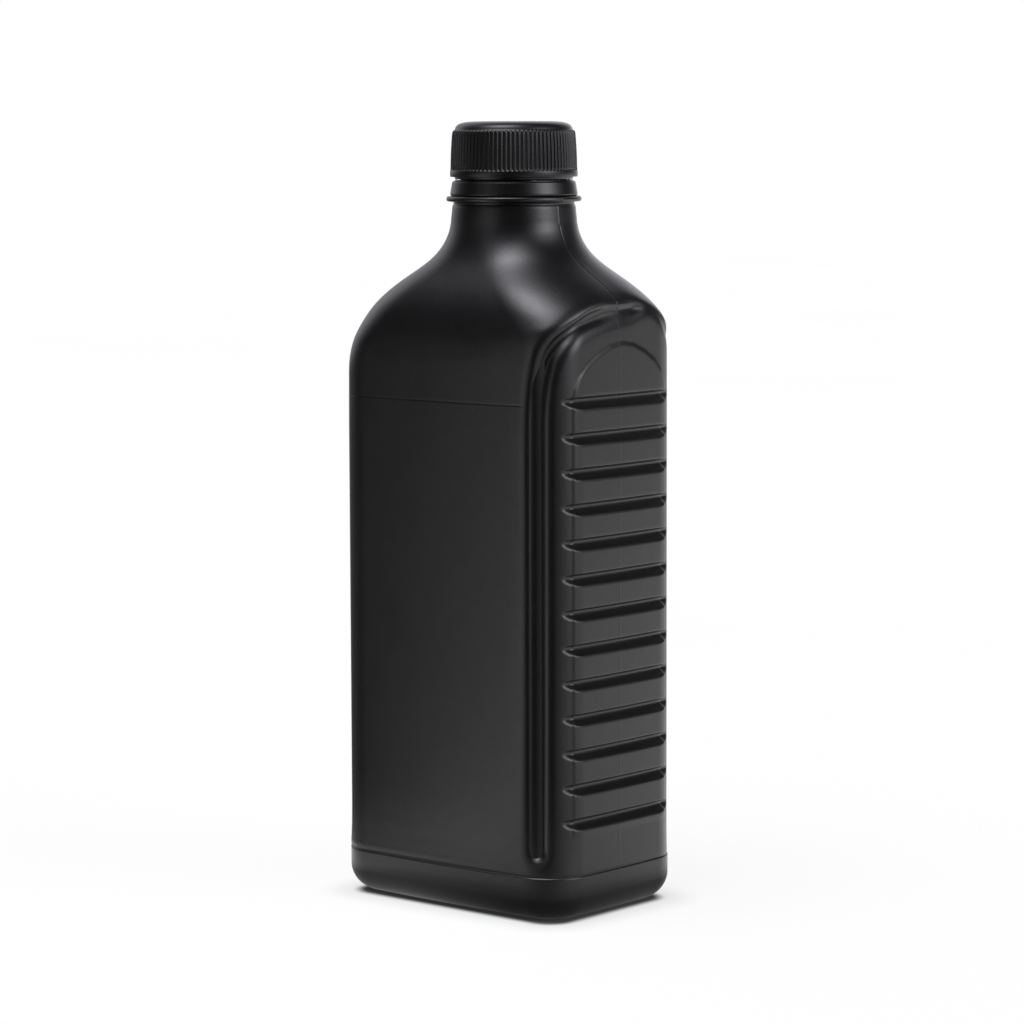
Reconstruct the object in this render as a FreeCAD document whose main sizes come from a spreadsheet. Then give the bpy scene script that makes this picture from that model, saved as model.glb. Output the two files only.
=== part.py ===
import FreeCAD, Part
import Sketcher
import math
import os

# One-litre oil bottle: blow-moulded shell, ribbed screw cap, tamper ring, sealing wad.
# Millimetres. +Z up, origin on the ground at the middle of the base footprint.
# -Y is a broad label face, +X the narrow ribbed grip side. The neck stands off centre, towards the grip side.

V = FreeCAD.Vector
doc = FreeCAD.newDocument("oil_bottle")

# ---------------------------------------------------------------- driving dimensions
DIMS = [
    # body section
    ("half_width", 45.9, "body half width at the middle of the narrow side"),
    ("half_depth", 31.9, "body half depth at the middle of the broad face"),
    ("corner_rad", 13.6, "plan radius of the four body corners"),
    ("broad_bow_rad", 727.2, "plan radius of the broad faces"),
    ("narrow_bow_rad", 463.1, "plan radius of the narrow sides"),
    ("wall", 1.1, "wall thickness"),
    ("floor_t", 1.4, "thickness of the base"),
    # base band
    ("band_h", 14.0, "height of the base parting line"),
    ("band_out", 0.45, "how far the base band stands proud"),
    ("base_fillet", 8.4, "radius round the foot"),
    ("push_up", 1.8, "depth of the recess under the base"),
    ("push_in", 13.0, "width of the standing ring under the base"),
    # shoulder and neck
    ("neck_x", 3.2, "neck axis offset from the middle of the base"),
    ("neck_rad", 19.4, "shoulder end radius at the neck"),
    ("shoulder_half_width", 49.4, "half width the shoulder grows to, about the neck axis"),
    ("shoulder_half_depth", 32.2, "half depth the shoulder grows to"),
    ("shoulder_z", 146.0, "where the shoulder starts"),
    ("neck_z", 210.0, "where the shoulder ends"),
    ("collar_rad", 19.05, "plain neck under the transfer ring"),
    ("transfer_rad", 20.8, "transfer ring radius"),
    ("transfer_z", 216.3, "underside of the transfer ring"),
    ("transfer_t", 1.7, "transfer ring thickness"),
    ("finish_rad", 16.4, "neck finish wall radius"),
    ("rim_z", 238.1, "top of the neck"),
    ("bore_rad", 14.2, "clear bore of the neck"),
    ("bead_rad", 17.5, "tamper bead radius"),
    ("bead_z", 221.2, "underside of the tamper bead"),
    # thread
    ("pitch", 4.0, "thread pitch, right hand"),
    ("neck_thread_z", 229.0, "centre of the neck thread at its start"),
    ("neck_thread_h", 5.0, "rise of the neck thread"),
    ("neck_crest_rad", 17.3, "neck thread crest radius"),
    ("cap_thread_z", 227.3, "centre of the cap thread at its start, closed"),
    ("cap_thread_h", 3.2, "rise of the cap thread"),
    ("cap_crest_rad", 16.72, "cap thread crest radius"),
    # grip side
    ("groove_top_z", 159.2, "top edge of the highest grip groove"),
    ("groove_pitch", 10.61, "spacing of the grip grooves"),
    ("groove_depth", 1.9, "grip groove depth"),
    ("frame_groove_rad", 2.75, "radius of the channel round the grip panel"),
    # cap
    ("cap_bottom_z", 223.9, "lower edge of the cap"),
    ("cap_top_z", 240.9, "top of the cap"),
    ("cap_flange_rad", 19.65, "plain band at the foot of the cap"),
    ("cap_flange_h", 2.1, "height of that band"),
    ("rib_crest_low", 19.5, "rib crest radius at the foot"),
    ("rib_crest_high", 18.9, "rib crest radius at the top"),
    ("rib_height", 0.5, "rib height"),
    ("rib_top_z", 237.9, "top of the ribs"),
    ("cap_bore_rad", 17.75, "inside radius of the cap"),
    ("cap_inner_top_z", 239.08, "inside top of the cap"),
    # tamper ring
    ("ring_bottom_z", 218.05, "underside of the tamper ring"),
    ("ring_top_z", 222.6, "top edge of the tamper ring"),
    ("ring_bore_rad", 17.95, "inside radius of the tamper ring"),
    ("ring_out_low", 19.6, "outer radius at the foot of the ring"),
    ("ring_out_high", 19.0, "outer radius at the top of the ring"),
    # wad
    ("wad_rad", 17.0, "sealing wad radius"),
    ("wad_t", 0.9, "sealing wad thickness"),
]
GROOVES = 13
RIBS = 88
ARCH_RINGS = 14
# how far the shoulder section has grown from the neck circle (0) to the body outline (1), by height
SHOULDER = [(146.0, 1.0), (151.0, 1.0), (156.0, 0.9995), (161.0, 0.9965), (166.0, 0.9890), (171.0, 0.9665),
            (176.0, 0.9115), (180.5, 0.8270), (184.5, 0.7390), (188.0, 0.6290), (191.0, 0.5180), (194.0, 0.3850),
            (197.0, 0.2540), (200.0, 0.1480), (203.3, 0.0710), (206.7, 0.0225), (210.0, 0.0)]

sheet = doc.addObject("Spreadsheet::Sheet", "dims")
row = 1
for name, value, note in DIMS:
    sheet.set("A%d" % row, name)
    sheet.set("B%d" % row, str(value))
    sheet.set("C%d" % row, note)
    sheet.setAlias("B%d" % row, name)
    row += 1
for k, (zz, ww) in enumerate(SHOULDER):
    for label, value in (("station_z_%c" % (97 + k), zz), ("grow_%c" % (97 + k), ww)):
        sheet.set("A%d" % row, label)
        sheet.set("B%d" % row, str(value))
        sheet.setAlias("B%d" % row, label)
        row += 1
doc.recompute()
D = {name: float(value) for name, value, note in DIMS}


def recompute_ok(obj):
    doc.recompute()
    if "Invalid" in obj.State or "Error" in obj.State or obj.Shape.isNull() or not obj.Shape.isValid():
        raise RuntimeError("%s (%s) is not a valid shape: %s" % (obj.Name, obj.Label, obj.State))
    return obj


def plane(body, role):
    for feature in body.Origin.OriginFeatures:
        if feature.Role == role:
            return feature
    raise RuntimeError(role)


def new_body(name):
    return doc.addObject("PartDesign::Body", name)


def sketch_in(body, name, role):
    sk = body.newObject("Sketcher::SketchObject", name)
    sk.AttachmentSupport = [(plane(body, role), "")]
    sk.MapMode = "FlatFace"
    return sk


# ---------------------------------------------------------------- bowed, rounded outlines
def corner(a, b, rc, rf, rs):
    """Centre of the corner arc, and the normal angles where it meets its neighbours."""
    ca, cb = rf - rc, rs - rc
    dx, dy = a - rs, -(b - rf)
    dist = math.hypot(dx, dy)
    # front arc centre at (0, rf - b), side arc centre at (a - rs, 0); look in the +X -Y quarter
    fx, fy = 0.0, rf - b
    sx, sy = a - rs, 0.0
    dx, dy = sx - fx, sy - fy
    dist = math.hypot(dx, dy)
    if dist < 1e-9:
        return 0.0, 0.0, math.radians(80), math.radians(10)
    along = (ca * ca - cb * cb + dist * dist) / (2 * dist)
    off = math.sqrt(max(ca * ca - along * along, 0.0))
    ux, uy = dx / dist, dy / dist
    best = None
    for s in (1, -1):
        cx, cy = fx + ux * along - s * uy * off, fy + uy * along + s * ux * off
        if cx > -1e-6 and cy < 1e-6:
            best = (cx, cy)
    cx, cy = best
    t_front = math.atan2(-(cy - fy), cx - fx)
    t_side = math.atan2(-(cy - sy), cx - sx)
    return cx, -cy, t_front, t_side


TARGET = {}


def outline(sk, kind, grow_expr, grow, inset_expr, inset):
    """Eight tangent arcs. kind 'body' or 'shoulder'; grow 1 is the full outline, 0 the neck circle."""
    if kind == "body":
        a1, b1, rc1 = D["half_width"], D["half_depth"], D["corner_rad"]
        ea, eb = "dims.half_width", "dims.half_depth"
    else:
        a1, b1, rc1 = D["shoulder_half_width"], D["shoulder_half_depth"], D["corner_rad"]
        ea, eb = "dims.shoulder_half_width", "dims.shoulder_half_depth"
    rf1, rs1, rn = D["broad_bow_rad"], D["narrow_bow_rad"], D["neck_rad"]
    cx1, cy1, tf, ts = corner(a1, b1, rc1, rf1, rs1)
    w = grow
    mix = lambda v: (1 - w) * rn + w * v - inset
    a, b, rc, rf, rs = mix(a1), mix(b1), mix(rc1), mix(rf1), mix(rs1)
    cx, cy = w * cx1, w * cy1
    z = V(0, 0, 1)
    pi = math.pi
    arcs = [(V(a - rs, 0, 0), rs, -ts, ts), (V(cx, cy, 0), rc, ts, tf), (V(0, b - rf, 0), rf, tf, pi - tf),
            (V(-cx, cy, 0), rc, pi - tf, pi - ts), (V(rs - a, 0, 0), rs, pi - ts, pi + ts),
            (V(-cx, -cy, 0), rc, pi + ts, pi + tf), (V(0, rf - b, 0), rf, pi + tf, 2 * pi - tf),
            (V(cx, -cy, 0), rc, 2 * pi - tf, 2 * pi - ts)]
    for c, r, s, e in arcs:
        sk.addGeometry(Part.ArcOfCircle(Part.Circle(c, z, r), s, e), False)
    cons = []
    for i in range(8):
        cons.append(Sketcher.Constraint("Tangent", i, 2, (i + 1) % 8, 1))
    for i, axis in ((0, -1), (4, -1), (2, -2), (6, -2)):
        cons.append(Sketcher.Constraint("PointOnObject", i, 3, axis))
    for i, j in ((0, 4), (2, 6), (1, 3), (1, 5), (1, 7)):
        cons.append(Sketcher.Constraint("Equal", i, j))
    sk.addConstraint(cons)
    ge = grow_expr
    mx = lambda e: "(1 - %s) * dims.neck_rad + %s * %s - (%s)" % (ge, ge, e, inset_expr)
    for nm, idx, val, expr in (("r_side", 0, rs, mx("dims.narrow_bow_rad")), ("r_corner", 1, rc, mx("dims.corner_rad")),
                               ("r_broad", 2, rf, mx("dims.broad_bow_rad"))):
        n = sk.addConstraint(Sketcher.Constraint("Radius", idx, val))
        sk.renameConstraint(n, nm)
        sk.setExpression("Constraints." + nm, expr)
    off_x = "%s * (dims.narrow_bow_rad - %s)" % (ge, ea)
    off_y = "%s * (dims.broad_bow_rad - %s)" % (ge, eb)
    for nm, con, expr in (("east", Sketcher.Constraint("DistanceX", 0, 3, -1, 1, rs - a), off_x),
                          ("west", Sketcher.Constraint("DistanceX", -1, 1, 4, 3, rs - a), off_x),
                          ("back", Sketcher.Constraint("DistanceY", 2, 3, -1, 1, rf - b), off_y),
                          ("front", Sketcher.Constraint("DistanceY", -1, 1, 6, 3, rf - b), off_y)):
        n = sk.addConstraint(con)
        sk.renameConstraint(n, nm)
        sk.setExpression("Constraints." + nm, expr)


def shoulder_body(name, inset_expr, inset):
    body = new_body(name)
    sections = []
    for k, (zz, ww) in enumerate(SHOULDER):
        c = chr(97 + k)
        sk = sketch_in(body, "%s_section_%s" % (name, c), "XY_Plane")
        sk.setExpression("AttachmentOffset.Base.x", "dims.neck_x")
        sk.setExpression("AttachmentOffset.Base.z", "dims.station_z_%s" % c)
        if ww > 1e-6:
            outline(sk, "shoulder", "dims.grow_%s" % c, ww, inset_expr, inset)
        else:
            # same eight arcs, all on the neck circle
            cx1, cy1, tf, ts = corner(D["shoulder_half_width"], D["shoulder_half_depth"], D["corner_rad"],
                                      D["broad_bow_rad"], D["narrow_bow_rad"])
            r = D["neck_rad"] - inset
            cuts = [-ts, ts, tf, math.pi - tf, math.pi - ts, math.pi + ts, math.pi + tf, 2 * math.pi - tf,
                    2 * math.pi - ts]
            for s, e in zip(cuts[:-1], cuts[1:]):
                sk.addGeometry(Part.ArcOfCircle(Part.Circle(V(0, 0, 0), V(0, 0, 1), r), s, e), False)
            for i in range(8):
                sk.addConstraint(Sketcher.Constraint("Coincident", i, 3, -1, 1))
                if i < 7:
                    sk.addConstraint(Sketcher.Constraint("Coincident", i, 2, i + 1, 1))
            sk.addConstraint(Sketcher.Constraint("Vertical", 7, 2, 0, 1))
            n = sk.addConstraint(Sketcher.Constraint("Radius", 0, r))
            sk.renameConstraint(n, "r_neck")
            sk.setExpression("Constraints.r_neck", "dims.neck_rad - (%s)" % inset_expr)
        sections.append(sk)
    doc.recompute()
    foot = body.newObject("PartDesign::Pad", name + "_foot")
    foot.Profile = sections[0]
    foot.Reversed = True
    foot.Type = "Length"
    foot.setExpression("Length", "dims.shoulder_z - 10")
    recompute_ok(foot)
    loft = body.newObject("PartDesign::AdditiveLoft", name + "_loft")
    loft.Profile = sections[0]
    loft.Sections = sections[1:]
    loft.Ruled = False
    loft.Refine = False
    recompute_ok(loft)
    return body


def straight_body(name, inset_expr, inset, z_expr, h_expr):
    body = new_body(name)
    sk = sketch_in(body, name + "_outline", "XY_Plane")
    sk.setExpression("AttachmentOffset.Base.z", z_expr)
    outline(sk, "body", "1", 1.0, inset_expr, inset)
    doc.recompute()
    pad = body.newObject("PartDesign::Pad", name + "_pad")
    pad.Profile = sk
    pad.setExpression("Length", h_expr)
    recompute_ok(pad)
    return body, pad


def revolved(body, name, points, kind="PartDesign::Revolution", x_expr="dims.neck_x"):
    """A closed profile of (radius, height) points turned about the neck axis. A number that comes as
    (value, expression) is bound to the sheet."""
    sk = sketch_in(body, name + "_profile", "XZ_Plane")
    if x_expr:
        sk.setExpression("AttachmentOffset.Base.x", x_expr)
    val = lambda q: q[0] if isinstance(q, tuple) else q
    pts = [V(val(p[0]), val(p[1]), 0) for p in points]
    n = len(pts)
    for i in range(n):
        sk.addGeometry(Part.LineSegment(pts[i], pts[(i + 1) % n]), False)
    for i in range(n):
        sk.addConstraint(Sketcher.Constraint("Coincident", i, 2, (i + 1) % n, 1))
    for i, p in enumerate(points):
        for axis, q in (("DistanceX", p[0]), ("DistanceY", p[1])):
            v = val(q)
            if axis == "DistanceX" and abs(v) < 1e-9:
                sk.addConstraint(Sketcher.Constraint("PointOnObject", i, 1, -2))
                continue
            c = sk.addConstraint(Sketcher.Constraint(axis, -1, 1, i, 1, v))
            if isinstance(q, tuple):
                nm = "%s_%d" % ("r" if axis == "DistanceX" else "z", i)
                sk.renameConstraint(c, nm)
                sk.setExpression("Constraints." + nm, q[1])
    doc.recompute()
    rev = body.newObject(kind, name)
    rev.Profile = sk
    rev.ReferenceAxis = (sk, ["V_Axis"])
    rev.Angle = 360.0
    recompute_ok(rev)
    return rev


def dim(expr_name, delta=0.0):
    if delta:
        return (D[expr_name] + delta, "dims.%s %s %g" % (expr_name, "+" if delta > 0 else "-", abs(delta)))
    return (D[expr_name], "dims." + expr_name)


def boolean(kind, name, *objs):
    ob = doc.addObject(kind, name)
    if kind in ("Part::MultiFuse", "Part::MultiCommon"):
        ob.Shapes = list(objs)
    else:
        ob.Base, ob.Tool = objs
    recompute_ok(ob)
    return ob


def helix_ridge(body, name, z_name, h_name, crest, root, half_root, half_crest, crest_expr, z_expr):
    sk = sketch_in(body, name + "_profile", "XZ_Plane")
    sk.setExpression("AttachmentOffset.Base.x", "dims.neck_x")
    z0 = D[z_name]
    pts = [V(root, z0 - half_root, 0), V(crest, z0 - half_crest, 0), V(crest, z0 + half_crest, 0), V(root, z0 + half_root, 0)]
    for i in range(4):
        sk.addGeometry(Part.LineSegment(pts[i], pts[(i + 1) % 4]), False)
    for i in range(4):
        sk.addConstraint(Sketcher.Constraint("Coincident", i, 2, (i + 1) % 4, 1))
    for i, dz in enumerate((-half_root, -half_crest, half_crest, half_root)):
        r = root if i in (0, 3) else crest
        c = sk.addConstraint(Sketcher.Constraint("DistanceX", -1, 1, i, 1, r))
        if i in (1, 2):
            sk.renameConstraint(c, "crest_%d" % i)
            sk.setExpression("Constraints.crest_%d" % i, crest_expr)
        c = sk.addConstraint(Sketcher.Constraint("DistanceY", -1, 1, i, 1, z0 + dz))
        sk.renameConstraint(c, "height_%d" % i)
        sk.setExpression("Constraints.height_%d" % i, "dims.%s %s %g" % (z_name, "+" if dz > 0 else "-", abs(dz)))
    doc.recompute()
    hx = body.newObject("PartDesign::AdditiveHelix", name)
    hx.Profile = sk
    hx.ReferenceAxis = (sk, ["V_Axis"])
    hx.Mode = 0
    hx.LeftHanded = False
    hx.Reversed = False
    hx.setExpression("Pitch", "dims.pitch")
    hx.setExpression("Height", "dims." + h_name)
    recompute_ok(hx)
    return hx


# ---------------------------------------------------------------- bottle, outside
shoulder_out = shoulder_body("shoulder_outside", "0", 0.0)
revolved(shoulder_out, "neck_outside", [
    (0.0, dim("neck_z")), (dim("neck_rad"), dim("neck_z")), (dim("collar_rad", 0.1), dim("neck_z", 2.5)),
    (dim("collar_rad"), dim("transfer_z", -1.4)), (dim("collar_rad", -0.45), dim("transfer_z", -1.0)),
    (dim("collar_rad", -0.45), dim("transfer_z", -0.1)), (dim("transfer_rad", -0.3), dim("transfer_z")),
    (dim("transfer_rad"), dim("transfer_z", 0.3)), (dim("transfer_rad"), dim("transfer_z", 1.35)),
    (dim("transfer_rad", -0.35), dim("transfer_z", 1.7)), (dim("finish_rad", 0.4), dim("transfer_z", 1.7)),
    (dim("finish_rad"), dim("transfer_z", 2.1)), (dim("finish_rad"), dim("bead_z", -0.3)),
    (dim("bead_rad"), dim("bead_z")), (dim("bead_rad"), dim("bead_z", 0.5)), (dim("finish_rad"), dim("bead_z", 1.6)),
    (dim("finish_rad"), dim("rim_z", -0.8)), (dim("finish_rad", -0.6), dim("rim_z")), (0.0, dim("rim_z"))])
helix_ridge(shoulder_out, "neck_thread", "neck_thread_z", "neck_thread_h", D["neck_crest_rad"], 16.2, 1.05, 0.45,
            "dims.neck_crest_rad", "dims.neck_thread_z")
straight_out, pad = straight_body("straight_outside", "0", 0.0, "10", "240")
upper_out = boolean("Part::Common", "upper_outside", straight_out, shoulder_out)

band, band_pad = straight_body("base_band", "-dims.band_out", -D["band_out"], "0", "dims.band_h")
foot_edges = []
for i, e in enumerate(band_pad.Shape.Edges):
    if abs(e.BoundBox.ZMax) < 1e-4:
        foot_edges.append("Edge%d" % (i + 1))
fillet = band.newObject("PartDesign::Fillet", "foot_fillet")
fillet.Base = (band_pad, foot_edges)
fillet.setExpression("Radius", "dims.base_fillet")
recompute_ok(fillet)
recess_sketch = sketch_in(band, "push_up_outline", "XY_Plane")
outline(recess_sketch, "body", "1", 1.0, "dims.push_in", D["push_in"])
doc.recompute()
recess = band.newObject("PartDesign::Pocket", "push_up_recess")
recess.Profile = recess_sketch
recess.Reversed = True
recess.TaperAngle = -40.0
recess.setExpression("Length", "dims.push_up")
recompute_ok(recess)
solid_out = boolean("Part::Fuse", "bottle_solid", upper_out, band)

# ---------------------------------------------------------------- grip grooves, turned about the centre of the bowed side
EXTRA = D["wall"]


def grip_cutter(name, grow):
    sk = doc.addObject("Sketcher::SketchObject", name + "_profiles")
    sk.Placement = FreeCAD.Placement(V(0, 0, 0), FreeCAD.Rotation(V(1, 0, 0), 90))
    x0, dep = D["half_width"], D["groove_depth"]
    for k in range(GROOVES):
        zt = D["groove_top_z"] - k * D["groove_pitch"]
        pts = [(1.0, 0.32 + grow), (-dep - grow, -0.6 + 0.7 * grow), (-dep - grow, -1.5 - 0.45 * grow), (1.0, -5.47 - 1.25 * grow)]
        n0 = sk.GeometryCount
        for i in range(4):
            p, q = pts[i], pts[(i + 1) % 4]
            sk.addGeometry(Part.LineSegment(V(x0 + p[0], zt + p[1], 0), V(x0 + q[0], zt + q[1], 0)), False)
        for i in range(4):
            sk.addConstraint(Sketcher.Constraint("Coincident", n0 + i, 2, n0 + (i + 1) % 4, 1))
        for i, p in enumerate(pts):
            ex = "dims.half_width + %g" % p[0] if p[0] > 0 else "dims.half_width - dims.groove_depth - %g" % grow
            ez = "dims.groove_top_z - %d * dims.groove_pitch + (%g)" % (k, p[1])
            for axis, v, e in (("DistanceX", x0 + p[0], ex), ("DistanceY", zt + p[1], ez)):
                c = sk.addConstraint(Sketcher.Constraint(axis, -1, 1, n0 + i, 1, v))
                nm = "g%d_%d_%s" % (k, i, axis[-1])
                sk.renameConstraint(c, nm)
                sk.setExpression("Constraints." + nm, e)
    doc.recompute()
    rev = doc.addObject("Part::Revolution", name)
    rev.Source = sk
    rev.Axis = V(0, 0, 1)
    rev.setExpression("Base.x", "dims.half_width - dims.narrow_bow_rad")
    rev.Angle = 6.7
    rev.Symmetric = True
    rev.Solid = True
    recompute_ok(rev)
    return rev


grip_cut = grip_cutter("grip_grooves", 0.0)

# ---------------------------------------------------------------- channel that frames the grip panel: up one corner, over, down the other
FOOT = (37.9, -29.85, 17.6, 0.44, -0.90, 0.0)
HALF_PATH = [
    # x, y, z on the surface of the shell, then the way out of it
    (37.9, -29.85, 152.0, 0.44, -0.90, 0.0), (38.25, -29.62, 158.0, 0.47, -0.88, 0.0), (39.3, -29.05, 164.2, 0.53, -0.84, 0.05),
    (41.2, -27.6, 170.2, 0.67, -0.74, 0.1), (43.3, -25.2, 174.8, 0.80, -0.56, 0.17), (44.9, -21.2, 178.6, 0.91, -0.30, 0.27),
    (45.4, -15.0, 181.6, 0.93, -0.12, 0.36), (45.1, -7.6, 183.8, 0.88, -0.05, 0.47)]
APEX = (44.3, 0.0, 184.7, 0.85, 0.0, 0.52)


def channel(name, radius_expr, radius, lift):
    def at(p):
        n = V(p[3], p[4], p[5])
        n.normalize()
        return V(p[0], p[1], p[2]) + n * lift
    left = [at(p) for p in HALF_PATH]
    pts = left + [at(APEX)] + [V(p.x, -p.y, p.z) for p in reversed(left)]
    curve = Part.BSplineCurve()
    curve.interpolate(Points=pts, InitialTangent=V(0, 0, 1), FinalTangent=V(0, 0, -1))
    first, length = curve.FirstParameter, curve.length(curve.FirstParameter, curve.LastParameter)
    rings = []
    out = pts[0] - V(HALF_PATH[0][0], HALF_PATH[0][1], HALF_PATH[0][2])
    for k in range(ARCH_RINGS + 1):
        u = curve.parameterAtDistance(length * k / ARCH_RINGS, first)
        along = curve.tangent(u)[0]
        out = out - along * out.dot(along)
        out.normalize()
        across = along.cross(out)
        turn = FreeCAD.Matrix(out.x, across.x, along.x, 0, out.y, across.y, along.y, 0, out.z, across.z, along.z, 0)
        ring = doc.addObject("Part::Circle", "%s_ring_%d" % (name, k))
        ring.setExpression("Radius", radius_expr)
        ring.Placement = FreeCAD.Placement(curve.value(u), FreeCAD.Placement(turn).Rotation)
        rings.append(ring)
    doc.recompute()
    arch = doc.addObject("Part::Loft", name + "_arch")
    arch.Sections = rings
    arch.Solid = True
    arch.Ruled = False
    recompute_ok(arch)
    tools = [arch]
    for tag, side in (("front", 1), ("back", -1)):
        foot = at(FOOT)
        foot = V(foot.x, side * foot.y, foot.z)
        ball = doc.addObject("Part::Sphere", "%s_%s_end" % (name, tag))
        ball.setExpression("Radius", radius_expr)
        away = math.degrees(math.atan2(side * HALF_PATH[0][4], HALF_PATH[0][3]))
        ball.Placement = FreeCAD.Placement(foot, FreeCAD.Rotation(V(0, 0, 1), away))
        run = doc.addObject("Part::Cylinder", "%s_%s_run" % (name, tag))
        run.setExpression("Radius", radius_expr)
        run.Height = pts[0].z - foot.z
        run.Placement = FreeCAD.Placement(foot, FreeCAD.Rotation(V(0, 0, 1), away))
        recompute_ok(ball)
        recompute_ok(run)
        tools += [run, ball]
    return tools


frame_cut = channel("frame_groove", "dims.frame_groove_rad", D["frame_groove_rad"], 1.4)
outside = boolean("Part::Cut", "bottle_less_grip", solid_out, grip_cut)
for i, tool in enumerate(frame_cut):
    outside = boolean("Part::Cut", "bottle_less_frame_%d" % i, outside, tool)

# ---------------------------------------------------------------- bottle, inside
shoulder_in = shoulder_body("shoulder_inside", "dims.wall", D["wall"])
revolved(shoulder_in, "neck_inside", [
    (0.0, dim("neck_z")), (dim("neck_rad", -1.1), dim("neck_z")), (dim("neck_rad", -1.5), dim("neck_z", 3.0)),
    (dim("bore_rad", 0.5), dim("transfer_z", 1.2)), (dim("bore_rad"), dim("transfer_z", 2.6)),
    (dim("bore_rad"), dim("rim_z", -0.5)), (dim("bore_rad", 0.5), dim("rim_z")), (dim("bore_rad", 0.5), dim("rim_z", 3.0)),
    (0.0, dim("rim_z", 3.0))])
straight_in, pad = straight_body("straight_inside", "dims.wall", D["wall"], "9", "245")
upper_in = boolean("Part::Common", "upper_inside", straight_in, shoulder_in)
pan, pan_pad = straight_body("base_inside", "dims.wall - 0.2", D["wall"] - 0.2, "dims.push_up + dims.floor_t", "dims.band_h - dims.push_up - dims.floor_t - 1")
pan_edges = []
low = D["push_up"] + D["floor_t"]
for i, e in enumerate(pan_pad.Shape.Edges):
    if abs(e.BoundBox.ZMax - low) < 1e-4:
        pan_edges.append("Edge%d" % (i + 1))
pan_fillet = pan.newObject("PartDesign::Fillet", "pan_fillet")
pan_fillet.Base = (pan_pad, pan_edges)
pan_fillet.Radius = 7.0
recompute_ok(pan_fillet)
hollow = boolean("Part::Fuse", "hollow_plain", upper_in, pan)
grip_keep = grip_cutter("grip_ridges_inside", EXTRA)
hollow = boolean("Part::Cut", "hollow_less_grip", hollow, grip_keep)
for i, tool in enumerate(channel("frame_ridge", "dims.frame_groove_rad + dims.wall", D["frame_groove_rad"] + D["wall"], 1.4)):
    hollow = boolean("Part::Cut", "hollow_less_frame_%d" % i, hollow, tool)
bottle = boolean("Part::Cut", "bottle", outside, hollow)
bottle.Label = "bottle"

# ---------------------------------------------------------------- screw cap
cap_core = new_body("cap_core")
revolved(cap_core, "cap_shell", [
    (0.0, dim("cap_top_z")), (11.5, dim("cap_top_z", -0.04)), (14.6, dim("cap_top_z", -0.22)), (16.4, dim("cap_top_z", -0.62)),
    (17.4, dim("cap_top_z", -1.2)), (18.0, dim("cap_top_z", -2.0)), (18.2, dim("cap_top_z", -2.8)),
    (dim("rib_crest_high", -0.5), dim("rib_top_z")), (dim("rib_crest_low", -0.5), (D["cap_bottom_z"] + D["cap_flange_h"], "dims.cap_bottom_z + dims.cap_flange_h")),
    (dim("cap_flange_rad", -0.12), (D["cap_bottom_z"] + D["cap_flange_h"], "dims.cap_bottom_z + dims.cap_flange_h")),
    (dim("cap_flange_rad"), dim("cap_bottom_z", 1.8)), (dim("cap_flange_rad"), dim("cap_bottom_z", 0.25)),
    (dim("cap_flange_rad", -0.25), dim("cap_bottom_z")), (dim("cap_bore_rad", 0.45), dim("cap_bottom_z")),
    (dim("cap_bore_rad", 0.45), dim("cap_bottom_z", -0.65)), (dim("cap_bore_rad"), dim("cap_bottom_z", -0.65)),
    (dim("cap_bore_rad"), dim("rim_z", -1.5)), (dim("wad_rad", 0.25), dim("rim_z", -0.6)), (dim("wad_rad", 0.25), dim("cap_inner_top_z")),
    (0.0, dim("cap_inner_top_z"))])
helix_ridge(cap_core, "cap_thread", "cap_thread_z", "cap_thread_h", D["cap_crest_rad"], 17.95, 1.05, 0.45,
            "dims.cap_crest_rad", "dims.cap_thread_z")

rib_sketch = doc.addObject("Sketcher::SketchObject", "rib_wedges")
rib_sketch.Placement = FreeCAD.Placement(V(D["neck_x"], 0, D["cap_bottom_z"] + 1.6), FreeCAD.Rotation())
rib_sketch.setExpression("Placement.Base.x", "dims.neck_x")
rib_sketch.setExpression("Placement.Base.z", "dims.cap_bottom_z + 1.6")
for k in range(RIBS):
    t = 2 * math.pi * k / RIBS
    pts = []
    for r, s in ((18.0, -0.42), (20.0, -0.16), (20.0, 0.16), (18.0, 0.42)):
        pts.append(V(r * math.cos(t) - s * math.sin(t), r * math.sin(t) + s * math.cos(t), 0))
    for i in range(4):
        rib_sketch.addGeometry(Part.LineSegment(pts[i], pts[(i + 1) % 4]), False)
rib_sketch.addConstraint([Sketcher.Constraint("Coincident", 4 * k + i, 2, 4 * k + (i + 1) % 4, 1) for k in range(RIBS) for i in range(4)])
doc.recompute()
ribs_raw = doc.addObject("Part::Extrusion", "rib_wedges_tall")
ribs_raw.Base = rib_sketch
ribs_raw.Dir = V(0, 0, 1)
ribs_raw.DirMode = "Custom"
ribs_raw.Solid = True
ribs_raw.setExpression("LengthFwd", "dims.rib_top_z - dims.cap_bottom_z - 1.0")
recompute_ok(ribs_raw)
crest_body = new_body("rib_envelope")
revolved(crest_body, "rib_crest_cone", [
    (dim("rib_crest_low", -0.9), dim("cap_bottom_z", 1.7)), (dim("rib_crest_low"), dim("cap_bottom_z", 1.7)),
    (dim("rib_crest_high"), dim("rib_top_z", -0.5)), (dim("rib_crest_high", -0.4), dim("rib_top_z", 0.1)), (dim("rib_crest_high", -0.9), dim("rib_top_z", 0.1))])
ribs = boolean("Part::Common", "ribs_trimmed", ribs_raw, crest_body)
screw_cap = boolean("Part::MultiFuse", "screw_cap", cap_core, ribs)
screw_cap.Label = "screw_cap"

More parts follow.
